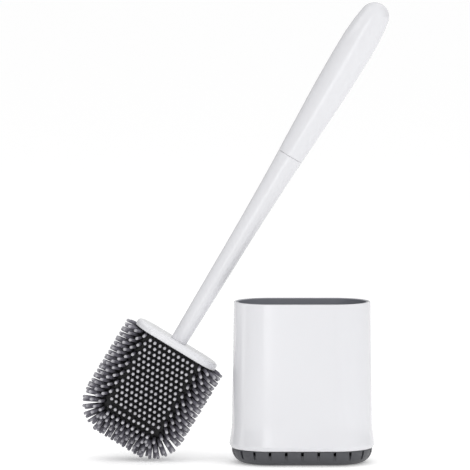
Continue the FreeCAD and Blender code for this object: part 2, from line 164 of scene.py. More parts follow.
class BristleSizes(bpy.types.PropertyGroup):
    """Sizes of the head's soft skin and of the bristles that stand on it."""

    bone_half_width: length("Half width", "Half width of the head's middle surface", 0.0254)
    bone_drop: length("Drop", "Lower edge of the middle surface below the plate's top", 0.080)
    bone_corner: length("Corner", "Corner radius of the middle surface", 0.0075)
    core_half: length("Core", "Half thickness of the core", 0.0058)
    skin_half: length("Skin", "Half thickness of the skin", 0.008)
    tip_half: length("Reach", "Reach of the tips from the middle surface", 0.02196)
    root_radius: length("Root radius", "Radius of a bristle at its root", 0.0016)
    tip_radius: length("Tip radius", "Radius of a bristle at its tip", 0.00132)
    sunk: length("Sunk", "How far a bristle's root is sunk in the skin", 0.0008)
    pitch: length("Pitch", "Spacing of the bristles along and across the head", 0.00458)
    first_row: length("First row", "First row of tips below the plate's top", 0.0102)
    straight_rows: number("Straight rows", "Evenly spaced rows on the straight sides", 14)
    row_count: number("Row count", "Bristles in the first row, and one fewer than in the next", 10)
    last_row: length("Last row", "Last front row below the plate's top", 0.0758)
    side_rake: angle("Side rake", "How far the side bristles lean down", math.radians(8.0))
    bottom_fan: length("Bottom fan", "Spread of the bottom bristles' tips to the sides", 0.012)
    spread: share("Spread", "How far a bristle may stray from its direction", 0.022)
    # Painted shade: the bristles that face down under the head get less of the paler tip colour.
    shade: share("Shade", "How much less worn the tips under the head are", 0.8)
    sides: number("Sides", "Sides of a bristle", 8)
    seed: number("Seed", "Seed of the small differences between bristles", 7)


class Finishes(bpy.types.PropertyGroup):
    """Colours of the materials."""

    white: colour("White", "Gloss white of the shell and the handle", (0.725, 0.726, 0.75))
    grey: colour("Grey", "Satin dark grey of the base", (0.060, 0.061, 0.069))
    liner: colour("Liner", "Slightly paler grey of the liner", (0.205, 0.212, 0.238))
    core: colour("Core", "Plain plastic of the hidden core", (0.62, 0.62, 0.60))
    rubber: colour("Rubber", "Soft grey rubber of the bristles", (0.168, 0.162, 0.192))
    # The tips colour is partly rubbed, abraded rubber and partly a painted highlight on the
    # bristles' blunt ends.
    tips: colour("Tips", "Rubbed, paler rubber at the bristles' ends", (0.47, 0.465, 0.49))


class StudioSettings(bpy.types.PropertyGroup):
    """The camera, the lights and the floor."""

    distance: length("Distance", "Distance of the camera from its aim", 4.5)
    elevation: angle("Elevation", "Elevation of the camera above its aim", math.radians(5.07))
    aim_drop: length("Aim drop", "How far the camera aims below the middle of the set", 0.0014)
    lens: focal("Lens", "Focal length on a 36 mm sensor", 410.0)
    floor_size: length("Floor size", "Half the width of the floor", 40.0)
    floor_gap: length("Floor gap", "How far the floor lies below the set", 0.0001)
    floor_glow: strength("Floor glow", "Glow of the floor, which keeps it plain white", 0.26)
    ground: strength("Ground", "Brightness of the surroundings that the camera sees", 1.1)
    level: strength("Level", "Surrounding light from the horizon", 0.75)
    rise: strength("Rise", "Gain of the surrounding light towards the top", 0.55)
    left_share: share("Left share", "Share of the surrounding light at the far left", 0.08)
    right_share: share("Right share", "Share of the surrounding light at the far right", 0.55)
    top_power: power("Overhead", "Power of the overhead softbox", 7.0)
    right_power: power("Right", "Power of the softbox at the right", 4.5)
    left_power: power("Left", "Power of the softbox at the left", 7.0)
    side_power: power("Side", "Power of the low softbox beside the head", 1.0)


# ---- nodes and materials


def feed(tree, target, inputs):
    """Fill a node's inputs with values, with sockets or with the first output of other nodes."""
    for key, value in inputs.items():
        if isinstance(value, bpy.types.Node):
            value = value.outputs[0]
        if isinstance(value, bpy.types.NodeSocket):
            tree.links.new(value, target.inputs[key])
        else:
            target.inputs[key].default_value = value


def node(tree, kind, inputs=None, **settings):
    """Add a node, set it up and fill its inputs."""
    made = tree.nodes.new(kind)
    for key, value in settings.items():
        setattr(made, key, value)
    feed(tree, made, inputs or {})
    return made


def math_node(tree, operation, *values):
    """The result of one step of arithmetic on values or sockets."""
    return node(tree, "ShaderNodeMath", dict(enumerate(values)), operation=operation).outputs[0]


def mapped(tree, value, from_min, from_max, to_min, to_max, interpolation="LINEAR"):
    """A value carried from one range to another, and kept inside it."""
    return node(tree, "ShaderNodeMapRange", {
        "Value": value, "From Min": from_min, "From Max": from_max,
        "To Min": to_min, "To Max": to_max,
    }, interpolation_type=interpolation)


def combined(tree, x=0.0, y=0.0, z=0.0):
    """A vector from three values or sockets."""
    return node(tree, "ShaderNodeCombineXYZ", {"X": x, "Y": y, "Z": z})


def attribute(tree, name):
    """A number that the mesh carries under a name."""
    return node(tree, "ShaderNodeAttribute", attribute_name=name).outputs["Fac"]


def tinted(colour_value, factor):
    """A colour made darker or lighter by a factor, with its alpha."""
    return [min(1.0, channel * factor) for channel in colour_value] + [1.0]


def new_material(name):
    """A new material, with its tree and its shader."""
    material = bpy.data.materials.new(name)
    material.use_nodes = True
    return material, material.node_tree, material.node_tree.nodes["Principled BSDF"]


def noise(tree, scale, detail=2.0):
    """Noise in the piece's own coordinates."""
    place = node(tree, "ShaderNodeTexCoord").outputs["Object"]
    return node(tree, "ShaderNodeTexNoise", {"Vector": place, "Scale": scale, "Detail": detail})


def bump(tree, height, strength, depth):
    """Small relief."""
    return node(tree, "ShaderNodeBump", {"Height": height, "Strength": strength, "Distance": depth})


def ramp(tree, value, *stops):
    """Colours over a value, as (position, colour)."""
    made = node(tree, "ShaderNodeValToRGB", {"Fac": value})
    for element, (position, tint) in zip(made.color_ramp.elements, stops):
        element.position, element.color = position, tint
    return made


def moulded_plastic(name, base, roughness, grain_scale, grain_depth, mottle):
    """A moulded plastic with a faint mottling, uneven gloss and the fine grain of its mould."""
    material, tree, shader = new_material(name)
    grain = noise(tree, grain_scale)
    feed(tree, shader, {
        "Base Color": ramp(tree, noise(tree, 22.0, 3.0), (0, tinted(base, 1 - mottle)),
                           (1, tinted(base, 1 + mottle))),
        "Roughness": mapped(tree, grain, 0.0, 1.0, roughness * 0.85, roughness * 1.15),
        "Normal": bump(tree, grain, 0.5, grain_depth),
    })
    return material


def bristle_rubber(name, base, tips):
    """Soft rubber: darker towards each bristle's root, which is painted shade between the bristles,
    and paler towards its end, partly rubbed rubber and partly a painted highlight. No two bristles
    are quite alike.
    """
    material, tree, shader = new_material(name)
    along, wear = attribute(tree, "along"), attribute(tree, "wear")
    # The paler tips are partly rubbed, abraded rubber and partly a painted highlight on the blunt
    # ends.
    worn_and_highlit = node(tree, "ShaderNodeMixRGB", {
        "Fac": mapped(tree, along, 0.72, 0.98, 0.0, wear, "SMOOTHSTEP"),
        # Painted shade: the ramp darkens each bristle to about a tenth of its colour near its root,
        # where the bristles shade one another.
        "Color1": ramp(tree, along, (0.18, tinted(base, 0.09)), (0.58, tinted(base, 1.0))),
        "Color2": tinted(tips, 1.0),
    })
    varied = node(tree, "ShaderNodeHueSaturation", {
        "Value": mapped(tree, attribute(tree, "tone"), 0.0, 1.0, 0.86, 1.14), "Color": worn_and_highlit,
    })
    feed(tree, shader, {
        "Base Color": varied, "Roughness": 0.5, "Specular IOR Level": 0.3,
        "Normal": bump(tree, noise(tree, 900.0), 0.4, 0.00006),
    })
    return material


# Finish: material name, colour, roughness, scale and depth of the grain, and mottling.
PLASTICS = {
    "white_plastic": ("gloss_white", "white", 0.13, 700.0, 0.000008, 0.008),
    "grey_plastic": ("satin_grey", "grey", 0.42, 1500.0, 0.00005, 0.06),
    "liner_grey": ("liner_grey", "liner", 0.42, 1500.0, 0.00005, 0.04),
    "core_plastic": ("plain_core", "core", 0.5, 900.0, 0.00004, 0.04),
}


def material_of(context, finish):
    """The material of a finish, made the first time that a piece asks for it."""
    finishes, made = context.scene.brush_finishes, bpy.data.materials
    if finish == "bristle_rubber":
        name = "soft_rubber"
        return made.get(name) or bristle_rubber(name, finishes.rubber, finishes.tips)
    name, tint, *texture = PLASTICS[finish]
    return made.get(name) or moulded_plastic(name, getattr(finishes, tint), *texture)


# ---- outlines and meshes


def rounded_outline(corners, closed=False):
    """Points of an outline whose corners are (x, y) or (x, y, rounding radius)."""
    points = []
    last = len(corners) - 1
    for index, corner in enumerate(corners):
        here = Vector(corner[:2])
        at_an_end = not closed and index in (0, last)
        if at_an_end or len(corner) < 3:
            points.append(here)
            continue
        before = Vector(corners[index - 1][:2]) - here
        after = Vector(corners[(index + 1) % len(corners)][:2]) - here
        half = before.angle(after) / 2
        radius = min(corner[2], 0.48 * min(before.length, after.length) * math.tan(half))
        reach = radius / math.tan(half)
        start = here + before.normalized() * reach
        end = here + after.normalized() * reach
        bisector = (before.normalized() + after.normalized()).normalized()
        centre = here + bisector * (radius / math.sin(half))
        points += arc(centre, start, end, max(2, round((math.pi - 2 * half) / ARC_STEP)))
    return points


def arc(centre, start, end, steps):
    """Points of the shorter arc about centre, from start to end, both included."""
    turn = (start - centre).angle_signed(end - centre)
    return [centre + (start - centre) @ Matrix.Rotation(turn * step / steps, 2)
            for step in range(steps + 1)]


def long_arc(start, end, radius, bulge, steps):
    """Points of a flat arc from start to end that bulges left (1) or right (-1), ends included."""
    chord = end - start
    left = Vector((-chord.y, chord.x)).normalized()
    rise = math.sqrt(radius ** 2 - (chord.length / 2) ** 2)
    return arc((start + end) / 2 - left * (rise * bulge), start, end, steps)


def stadium(half_flat, arc_steps, flat_steps):
    """Stations round a stadium: where the outline's foot stands and which way it faces."""
    stations = []
    for side in (1, -1):
        for step in range(arc_steps):
            facing = math.pi * (step / arc_steps - 0.5) + (0 if side == 1 else math.pi)
            stations.append((side * half_flat, facing))
        if half_flat:
            for step in range(flat_steps):
                along = half_flat - 2 * half_flat * step / flat_steps
                stations.append((side * along, side * math.pi / 2))
    return [(Vector((x, 0, 0)), Vector((math.cos(f), math.sin(f), 0))) for x, f in stations]


def swept(outline, half_flat=0.0, closed=True, arc_steps=64, flat_steps=12):
    """A mesh of an outline (distance from the middle line, height) carried round a stadium."""
    mesh = bmesh.new()
    rings = [
        [mesh.verts.new(foot + facing * max(point[0], 0.0) + UP * point[1]) for point in outline]
        for foot, facing in stadium(half_flat, arc_steps, flat_steps)
    ]
    rows = range(len(outline) if closed else len(outline) - 1)
    for index, ring in enumerate(rings):
        following = rings[(index + 1) % len(rings)]
        for row in rows:
            after = (row + 1) % len(outline)
            mesh.faces.new((ring[row], following[row], following[after], ring[after]))
    bmesh.ops.remove_doubles(mesh, verts=mesh.verts, dist=SAME_POINT)
    return mesh


def linked(name, data):
    """A new object of the scene."""
    made = bpy.data.objects.new(name, data)
    bpy.context.scene.collection.objects.link(made)
    return made


def solid(name, mesh, place=None):
    """An object from a bmesh, with its normals outwards and its creases marked."""
    bmesh.ops.recalc_face_normals(mesh, faces=mesh.faces)
    data = bpy.data.meshes.new(name)
    mesh.to_mesh(data)
    mesh.free()
    if place:
        data.transform(place)
    data.polygons.foreach_set("use_smooth", [True] * len(data.polygons))
    data.set_sharp_from_angle(angle=SHARP_TURN)
    return linked(name, data)


def finish_piece(context, piece, body, slot, node_name, finish=None):
    """Give a piece its material and its body, and hide the CAD node that it stands for."""
    piece.data.materials.clear()
    piece.data.materials.append(material_of(context, finish or slot))
    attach(piece, body)
    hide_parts(node_name)


def baked(piece):
    """Turn what a piece's modifiers make into its plain mesh, and take the modifiers off."""
    depsgraph = bpy.context.evaluated_depsgraph_get()
    data = bpy.data.meshes.new_from_object(
        piece.evaluated_get(depsgraph), preserve_all_data_layers=True, depsgraph=depsgraph
    )
    piece.modifiers.clear()
    piece.data = data
    mesh = bmesh.new()
    mesh.from_mesh(data)
    bmesh.ops.remove_doubles(mesh, verts=mesh.verts, dist=SAME_CUT_POINT)
    bmesh.ops.recalc_face_normals(mesh, faces=mesh.faces)
    mesh.to_mesh(data)
    mesh.free()
    data.set_sharp_from_angle(angle=SHARP_TURN)
    return piece


def add_tree_modifier(piece, tree, **values):
    """Run a node tree on a piece. Each value is named as the tree's input, with _ for a space."""
    modifier = piece.modifiers.new(tree.name, "NODES")
    modifier.node_group = tree
    for item in tree.interface.items_tree:
        key = item.name.replace(" ", "_").lower()
        if item.in_out == "INPUT" and key in values:
            modifier[item.identifier] = values.pop(key)
    if values:
        raise ValueError(f"{tree.name} has no input named {sorted(values)}")


def new_tree(name, inputs):
    """A geometry tree with its geometry sockets and the given (name, socket type) inputs."""
    tree = bpy.data.node_groups.new(name, "GeometryNodeTree")
    tree.interface.new_socket("Geometry", in_out="OUTPUT", socket_type="NodeSocketGeometry")
    tree.interface.new_socket("Geometry", in_out="INPUT", socket_type="NodeSocketGeometry")
    for label, kind in inputs:
        tree.interface.new_socket(label, in_out="INPUT", socket_type="NodeSocket" + kind)
    return tree, node(tree, "NodeGroupInput").outputs


def end_tree(tree, geometry, material):
    """End a tree with its instances made real and given their material."""
    real = node(tree, "GeometryNodeRealizeInstances", {"Geometry": geometry})
    coloured = node(tree, "GeometryNodeSetMaterial", {"Geometry": real, "Material": material})
    node(tree, "NodeGroupOutput", {"Geometry": coloured})
    return tree


# ---- geometry trees


def slot_tree():
    """Cuts box-shaped slots, evenly spaced along a stadium, in one row or in front and behind."""
    tree, given = new_tree("Slot Cutter", [
        ("Half Flat", "Float"), ("Reach", "Float"), ("Turn Radius", "Float"), ("Pitch", "Float"),
        ("Per Side", "Int"), ("Rows", "Int"), ("Size", "Vector"), ("Height", "Float"),
        ("Material", "Material"),
    ])
    in_a_row = math_node(tree, "MULTIPLY_ADD", given["Per Side"], 2.0, 1.0)
    count = math_node(tree, "MULTIPLY", in_a_row, given["Rows"])
    cutters = node(tree, "GeometryNodeMeshLine", {"Count": count}, mode="OFFSET")
    index = node(tree, "GeometryNodeInputIndex").outputs["Index"]
    row = math_node(tree, "FLOOR", math_node(tree, "DIVIDE", index, in_a_row))
    facing = math_node(tree, "MULTIPLY_ADD", row, 2.0, -1.0)
    column = math_node(tree, "MODULO", index, in_a_row)
    step = math_node(tree, "SUBTRACT", column, given["Per Side"])
    along = math_node(tree, "MULTIPLY", step, given["Pitch"])
    below = math_node(tree, "MULTIPLY", given["Half Flat"], -1.0)
    foot = math_node(tree, "MAXIMUM", math_node(tree, "MINIMUM", along, given["Half Flat"]), below)
    past_foot = math_node(tree, "SUBTRACT", along, foot)
    turn = math_node(tree, "DIVIDE", past_foot, given["Turn Radius"])
    ahead = math_node(tree, "MULTIPLY", math_node(tree, "COSINE", turn), facing)
    outward = combined(tree, math_node(tree, "SINE", turn), ahead)
    place = node(tree, "ShaderNodeVectorMath", {
        0: outward, 1: combined(tree, *[given["Reach"]] * 3),
        2: combined(tree, foot, 0.0, given["Height"]),
    }, operation="MULTIPLY_ADD")
    placed = node(tree, "GeometryNodeSetPosition", {"Geometry": cutters, "Position": place})
    box = node(tree, "GeometryNodeMeshCube", {"Size": given["Size"]})
    aligned = node(tree, "FunctionNodeAlignRotationToVector", {"Vector": outward}, axis="X")
    boxes = node(tree, "GeometryNodeInstanceOnPoints", {
        "Points": placed, "Instance": box, "Rotation": aligned,
    })
    joined = node(tree, "GeometryNodeRealizeInstances", {"Geometry": boxes})
    cut = node(tree, "GeometryNodeMeshBoolean", {
        "Mesh 1": given["Geometry"], "Mesh 2": joined,
    }, operation="DIFFERENCE", solver="EXACT")
    return end_tree(tree, cut, given["Material"])


def bristle_tree():
    """Stands a tapered, blunt-ended bristle on every point, along the point's direction."""
    tree, given = new_tree("Bristles", [
        ("Length", "Float"), ("Root Radius", "Float"), ("Tip Radius", "Float"), ("Sides", "Int"),
        ("Spread", "Float"), ("Seed", "Int"), ("Material", "Material"),
    ])
    rings, shaft_rings = 7, 2         # rings of the whole bristle, and steps up its shaft
    last_turn, bluntness = 1.2, 0.8   # angle of the last ring, and rise of the end to its radius
    shaft_end = shaft_rings / (rings - 1)
    line = node(tree, "GeometryNodeCurvePrimitiveLine", {"End": (0, 0, 1)}, mode="POINTS")
    spine = node(tree, "GeometryNodeResampleCurve", {"Curve": line, "Count": rings}, mode="COUNT")
    index = node(tree, "GeometryNodeSplineParameter").outputs["Index"]
    step = math_node(tree, "DIVIDE", index, rings - 1.0)
    up_shaft = mapped(tree, step, 0.0, shaft_end, 0.0, 1.0)
    round_end = mapped(tree, step, shaft_end, 1.0, 0.0, last_turn)
    dome = math_node(tree, "MULTIPLY", given["Tip Radius"], bluntness)
    shaft = math_node(tree, "SUBTRACT", given["Length"], dome)
    risen_end = math_node(tree, "MULTIPLY", math_node(tree, "SINE", round_end), dome)
    height = math_node(tree, "MULTIPLY_ADD", up_shaft, shaft, risen_end)
    taper = mapped(tree, up_shaft, 0.0, 1.0, given["Root Radius"], given["Tip Radius"])
    radius = math_node(tree, "MULTIPLY", taper, math_node(tree, "COSINE", round_end))
    shaped = node(tree, "GeometryNodeSetPosition", {
        "Geometry": spine, "Position": combined(tree, z=height),
    })
    circle = node(tree, "GeometryNodeCurvePrimitiveCircle", {
        "Resolution": given["Sides"], "Radius": 1.0,
    }, mode="RADIUS")
    tube = node(tree, "GeometryNodeCurveToMesh", {
        "Curve": shaped, "Profile Curve": circle, "Scale": radius, "Fill Caps": True,
    })
    here = node(tree, "GeometryNodeInputPosition").outputs["Position"]
    risen = node(tree, "ShaderNodeSeparateXYZ", {0: here}).outputs["Z"]
    marked = node(tree, "GeometryNodeStoreNamedAttribute", {
        "Geometry": tube, "Name": "along",
        "Value": math_node(tree, "DIVIDE", risen, given["Length"]),
    }, data_type="FLOAT", domain="POINT")
    tone = node(tree, "FunctionNodeRandomValue", {"Seed": given["Seed"]}, data_type="FLOAT")
    points = node(tree, "GeometryNodeStoreNamedAttribute", {
        "Geometry": given["Geometry"], "Name": "tone", "Value": tone.outputs[1],
    }, data_type="FLOAT", domain="POINT")
    direction = node(tree, "GeometryNodeInputNamedAttribute", {"Name": "direction"},
                     data_type="FLOAT_VECTOR")
    stray = node(tree, "FunctionNodeRandomValue", {
        "Min": (-1, -1, -1), "Max": (1, 1, 1), "Seed": given["Seed"],
    }, data_type="FLOAT_VECTOR")
    strayed = node(tree, "ShaderNodeVectorMath", {
        0: stray, 1: combined(tree, *[given["Spread"]] * 3), 2: direction,
    }, operation="MULTIPLY_ADD")
    aligned = node(tree, "FunctionNodeAlignRotationToVector", {"Vector": strayed}, axis="Z")
    smooth = node(tree, "GeometryNodeSetShadeSmooth", {"Geometry": marked})
    bristles = node(tree, "GeometryNodeInstanceOnPoints", {
        "Points": points, "Instance": smooth, "Rotation": aligned,
    })
    return end_tree(tree, bristles, given["Material"])


# ---- holder


def holder_box(name):
    """Lowest level, highest level, end radius and half straight length of a holder node."""
    low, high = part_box(name)
    end_r = (high.y - low.y) / 2
    return low.z, high.z, end_r, (high.x - low.x) / 2 - end_r


class BRUSHSET_OT_shell(bpy.types.Operator):
    """Make the white shell, whose wall widens downwards and turns in at a skirt"""

    bl_idname = "brush_set.shell"
    bl_label = "Outer Shell"

    def execute(self, context):
        sizes = context.scene.holder_sizes
        foot, rim, skirt_r, half_flat = holder_box("outer_shell")
        skirt_z = foot + sizes.skirt_rise
        flare_z = skirt_z + sizes.flare_rise
        flare_r = skirt_r - sizes.flare_step
        rim_r = flare_r - sizes.shell_taper
        wall, small = sizes.shell_wall, sizes.edge_round
        outline = rounded_outline([
            (sizes.lip_reach, foot, small),
            (skirt_r - sizes.skirt_turn_in, foot, 2 * small),
            (skirt_r, skirt_z, sizes.skirt_round),
            (flare_r, flare_z, sizes.flare_blend),
            (rim_r, rim, sizes.rim_round),
            (rim_r - wall, rim, small),
            (flare_r - wall, flare_z, sizes.flare_blend),
            (skirt_r - wall, skirt_z, small),
            (sizes.lip_reach, foot + wall, small),
        ], closed=True)
        piece = solid("shell", swept(outline, half_flat))
        finish_piece(context, piece, "housing", "white_plastic", "outer_shell")
        return {"FINISHED"}


class BRUSHSET_OT_liner(bpy.types.Operator):
    """Make the dark liner with the drain slots in its floor"""

    bl_idname = "brush_set.liner"
    bl_label = "Inner Liner"

    def execute(self, context):
        sizes = context.scene.holder_sizes
        foot, top, lip_r, _ = holder_box("inner_liner")
        half_flat = holder_box("outer_shell")[3]
        outer = lip_r - sizes.liner_step
        inner = outer - sizes.liner_wall
        floor_top = foot + sizes.liner_floor
        lip_foot = top - sizes.liner_lip
        small = sizes.edge_round
        outline = rounded_outline([
            (0, foot),
            (outer, foot, 2 * small),
            (outer, lip_foot),
            (lip_r, lip_foot),
            (lip_r, top, small),
            (inner, top, 2 * small),
            (inner, floor_top, sizes.liner_round),
            (0, floor_top),
        ])
        piece = solid("liner", swept(outline, half_flat, closed=False))
        past = sizes.liner_floor
        add_tree_modifier(
            piece, slot_tree(), half_flat=half_flat + outer, reach=0.0, turn_radius=lip_r,
            pitch=sizes.drain_pitch, per_side=sizes.drains_per_side, rows=1,
            size=(sizes.drain_length, sizes.drain_width, sizes.liner_floor + 2 * past),
            height=(foot + floor_top) / 2, material=material_of(context, "liner_grey"),
        )
        finish_piece(
            context, baked(piece), "housing", "grey_plastic", "inner_liner", finish="liner_grey"
        )
        return {"FINISHED"}


class BRUSHSET_OT_base(bpy.types.Operator):
    """Make the dark base, a drip bowl with a spigot and a row of vent slots round it"""

    bl_idname = "brush_set.base"
    bl_label = "Vented Base"

    def execute(self, context):
        sizes = context.scene.holder_sizes
        foot, top, outer, half_flat = holder_box("vented_base")
        small = sizes.edge_round
        shoulder = foot + sizes.base_shoulder
        bowl = shoulder - sizes.base_bridge
        round_r = bowl - foot
        spigot_out = outer - sizes.shoulder_width
        spigot_in = spigot_out - sizes.spigot_wall
        inner = outer - sizes.base_wall
        under = outer - round_r
        steps, middle = 20, Vector((under, bowl))
        outside = arc(middle, Vector((under, foot)), Vector((outer, bowl)), steps)
        inside = arc(middle, Vector((inner, bowl)), Vector((under, foot + sizes.base_wall)), steps)
        rim = rounded_outline([
            (outer, bowl),
            (outer, shoulder, small / 2),
            (spigot_out, shoulder),
            (spigot_out, top, small),
            (spigot_in, top, small),
            (spigot_in, bowl),
        ])
        outline = [Vector((0, foot))] + outside[:-1] + rim + inside + [
            Vector((0, foot + sizes.base_wall))
        ]
        piece = solid("base", swept(outline, half_flat, closed=False))
        vent_height = bowl - sizes.vent_bottom - foot
        inner_end = inner - sizes.vent_overcut
        depth = 2 * sizes.base_wall
        add_tree_modifier(
            piece, slot_tree(), half_flat=half_flat, reach=inner_end + depth / 2,
            turn_radius=outer, pitch=sizes.vent_pitch, per_side=sizes.vents_per_side, rows=2,
            size=(depth, sizes.vent_width, vent_height), height=bowl - vent_height / 2,
            material=material_of(context, "grey_plastic"),
        )
        finish_piece(context, baked(piece), "base", "grey_plastic", "vented_base")
        return {"FINISHED"}


# ---- brush


def brush_place(context):
    """Where the brush's own frame stands: +Z along the handle from the plate's top face."""
    sizes = context.scene.brush_sizes
    low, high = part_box("head_plate")
    turn = Matrix.Rotation(sizes.lean, 4, "Y") @ Matrix.Rotation(sizes.twist, 4, "Z")
    top = (low + high) / 2 + turn @ UP * (sizes.plate_thick / 2)
    return Matrix.Translation(top) @ turn


class BRUSHSET_OT_grip(bpy.types.Operator):
    """Make the hollow grip, which swells upwards to a domed end"""

    bl_idname = "brush_set.grip"
    bl_label = "Grip"

    def execute(self, context):
        sizes = context.scene.brush_sizes
        socket = sizes.tenon + sizes.fit_gap
        foot_z = sizes.seam_z + sizes.seam_gap
        crown_x = sizes.grip_most - sizes.grip_crown_arc
        crown = Vector((crown_x, sizes.grip_most_z))
        rise = math.sqrt((sizes.grip_crown_arc - sizes.grip_dome) ** 2 - crown_x ** 2)
        dome = Vector((0, sizes.grip_most_z + rise))
        dome_edge = crown + (dome - crown).normalized() * sizes.grip_crown_arc
        swell = Vector((sizes.grip_swell, sizes.grip_swell_z))
        most = Vector((sizes.grip_most, sizes.grip_most_z))
        wall = sizes.grip_wall
        inner_dome = arc(dome, dome + Vector((0, sizes.grip_dome - wall)),
                         dome + Vector((sizes.grip_dome - wall, 0)), 8)
        outline = rounded_outline([
            (socket, foot_z),
            (sizes.grip_foot, foot_z, sizes.edge_round),
            tuple(swell),
        ])[:-1]
        outline += long_arc(swell, most, sizes.grip_swell_arc, -1, 12)
        outline += arc(crown, most, dome_edge, 12)[1:]
        outline += arc(dome, dome_edge, dome + Vector((0, sizes.grip_dome)), 14)[1:]
        outline += inner_dome
        outline += [
            Vector((sizes.grip_most - wall, sizes.grip_most_z)),
            Vector((sizes.grip_swell - wall, sizes.grip_swell_z)),
            Vector((socket, sizes.seam_z + sizes.tenon_length)),
        ]
        piece = solid("handle_grip", swept(outline), brush_place(context))
        finish_piece(context, piece, "brush", "white_plastic", "grip")
        return {"FINISHED"}


class BRUSHSET_OT_rod(bpy.types.Operator):
    """Make the rod, with its foot on the plate, its stud in the head and its tenon in the grip"""

    bl_idname = "brush_set.rod"
    bl_label = "Rod"

    def execute(self, context):
        sizes = context.scene.brush_sizes
        small = sizes.edge_round
        tenon_top = sizes.seam_z + sizes.tenon_length
        lower = rounded_outline([
            (0, -sizes.stud_length),
            (sizes.stud, -sizes.stud_length, small),
            (sizes.stud, 0),
            (sizes.rod_foot, 0, small),
            (sizes.rod_middle, sizes.rod_middle_z),
        ])
        flare = long_arc(Vector((sizes.rod_middle, sizes.rod_middle_z)),
                         Vector((sizes.rod_top, sizes.seam_z - small)), sizes.rod_flare, 1, 16)
        upper = rounded_outline([
            tuple(flare[-1]),
            (sizes.rod_top, sizes.seam_z, small),
            (sizes.tenon, sizes.seam_z),
            (sizes.tenon, tenon_top, small),
            (sizes.rod_bore, tenon_top),
            (sizes.rod_bore, sizes.rod_bore_foot),
            (0, sizes.rod_bore_foot),
        ])
        outline = lower[:-1] + flare + upper[1:]
        piece = solid("handle_rod", swept(outline, closed=False), brush_place(context))
        finish_piece(context, piece, "brush", "white_plastic", "rod")
        return {"FINISHED"}


class BRUSHSET_OT_plate(bpy.types.Operator):
    """Make the white plate between the rod and the head"""

    bl_idname = "brush_set.plate"
    bl_label = "Head Plate"

    def execute(self, context):
        sizes = context.scene.brush_sizes
        half = sizes.plate_depth / 2
        half_flat = (sizes.plate_length - sizes.plate_depth) / 2
        outline = rounded_outline([
            (0, -sizes.plate_thick),
            (half, -sizes.plate_thick, sizes.plate_lip),
            (half, 0, sizes.plate_round),
            (0, 0),
        ])
        hole = sizes.stud + sizes.fit_gap
        piece = solid("plate", swept(outline, half_flat, closed=False))
        past = sizes.plate_thick
        cutter = solid("stud_hole", swept(rounded_outline([
            (0, -2 * past), (hole, -2 * past), (hole, past), (0, past),
        ]), closed=False, arc_steps=24))
        cut = piece.modifiers.new("Stud Hole", "BOOLEAN")
        cut.object = cutter
        cut.solver = "EXACT"
        baked(piece)
        bpy.data.objects.remove(cutter)
        piece.data.transform(brush_place(context))
        finish_piece(context, piece, "brush", "white_plastic", "head_plate")
        return {"FINISHED"}


# ---- head


def bone_path(sizes, top, corner_steps):
    """Stations along the head's edge, down the left side, round the bottom and up the right:
    points (x, 0, z) with the direction that faces out of the edge."""
    centre_x = sizes.bone_half_width - sizes.bone_corner
    centre_z = sizes.bone_corner - sizes.bone_drop
    turns = [math.pi / 2 * step / corner_steps for step in range(corner_steps + 1)]
    left = [(Vector((-sizes.bone_half_width, 0, top)), Vector((-1, 0, 0)))]
    for turn in turns:
        out = Vector((-math.cos(turn), 0, -math.sin(turn)))
        left.append((Vector((-centre_x, 0, centre_z)) + out * sizes.bone_corner, out))
    mirror = Matrix.Scale(-1, 3, Vector((1, 0, 0)))
    return left + [(mirror @ point, mirror @ out) for point, out in reversed(left)]


def paddle_shell(mesh, sizes, half, top, round_steps=16, corner_steps=10):
    """Add one surface of the head, half away from its middle surface, and give its open loop."""
    rings = []
    for point, out in bone_path(sizes, top, corner_steps):
        turns = [math.pi * step / round_steps for step in range(round_steps + 1)]
        rings.append([
            mesh.verts.new(point + (FRONT * math.cos(turn) + out * math.sin(turn)) * half)
            for turn in turns
        ])
    for ring, following in zip(rings, rings[1:]):
        for row in range(round_steps):
            mesh.faces.new((ring[row], ring[row + 1], following[row + 1], following[row]))
    mesh.faces.new([ring[0] for ring in rings])
    mesh.faces.new([ring[-1] for ring in rings])
    return rings[0] + rings[-1][::-1]


class BRUSHSET_OT_sleeve(bpy.types.Operator):
    """Make the soft skin on the head's core, and give the hidden core its plain plastic"""

    bl_idname = "brush_set.sleeve"
    bl_label = "Head Sleeve"

    def execute(self, context):
        sizes = context.scene.bristle_sizes
        top = -context.scene.brush_sizes.plate_thick
        mesh = bmesh.new()
        outer = paddle_shell(mesh, sizes, sizes.skin_half, top)
        inner = paddle_shell(mesh, sizes, sizes.core_half, top)
        for index in range(len(outer)):
            after = (index + 1) % len(outer)
            mesh.faces.new((outer[index], outer[after], inner[after], inner[index]))
        piece = solid("sleeve", mesh, brush_place(context))
        # The skin has no along value, so the rubber gives it the darkest end of its painted shade:
        # near black, like the shade between the bristles.
        finish_piece(context, piece, "brush", "bristle_rubber", "head_sleeve")
        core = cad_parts["head_core"]
        core.data.materials.clear()
        core.data.materials.append(material_of(context, "core_plastic"))
        return {"FINISHED"}


def row_drops(sizes, rear):
    """How far below the plate's top each straight row of tips lies. The rear half of the head
    has one row more, and its rows lie half a pitch higher."""
    first = sizes.first_row - (sizes.pitch / 2 if rear else 0)
    return [first + sizes.pitch * row for row in range(sizes.straight_rows + (1 if rear else 0))]


def spaced(count, pitch):
    """Places of count bristles in a row, on both sides of the middle."""
    return [(column - (count - 1) / 2) * pitch for column in range(count)]


def face_roots(sizes, facing):
    """Roots and directions of the flat front or back field, row by row in quincunx."""
    roots = []
    root = facing * (sizes.skin_half - sizes.sunk)
    for row, drop in enumerate(row_drops(sizes, facing == BACK) + [sizes.last_row]):
        for across in spaced(sizes.row_count + row % 2, sizes.pitch):
            roots.append((Vector((across, 0, -drop)) + root, facing))
    return roots


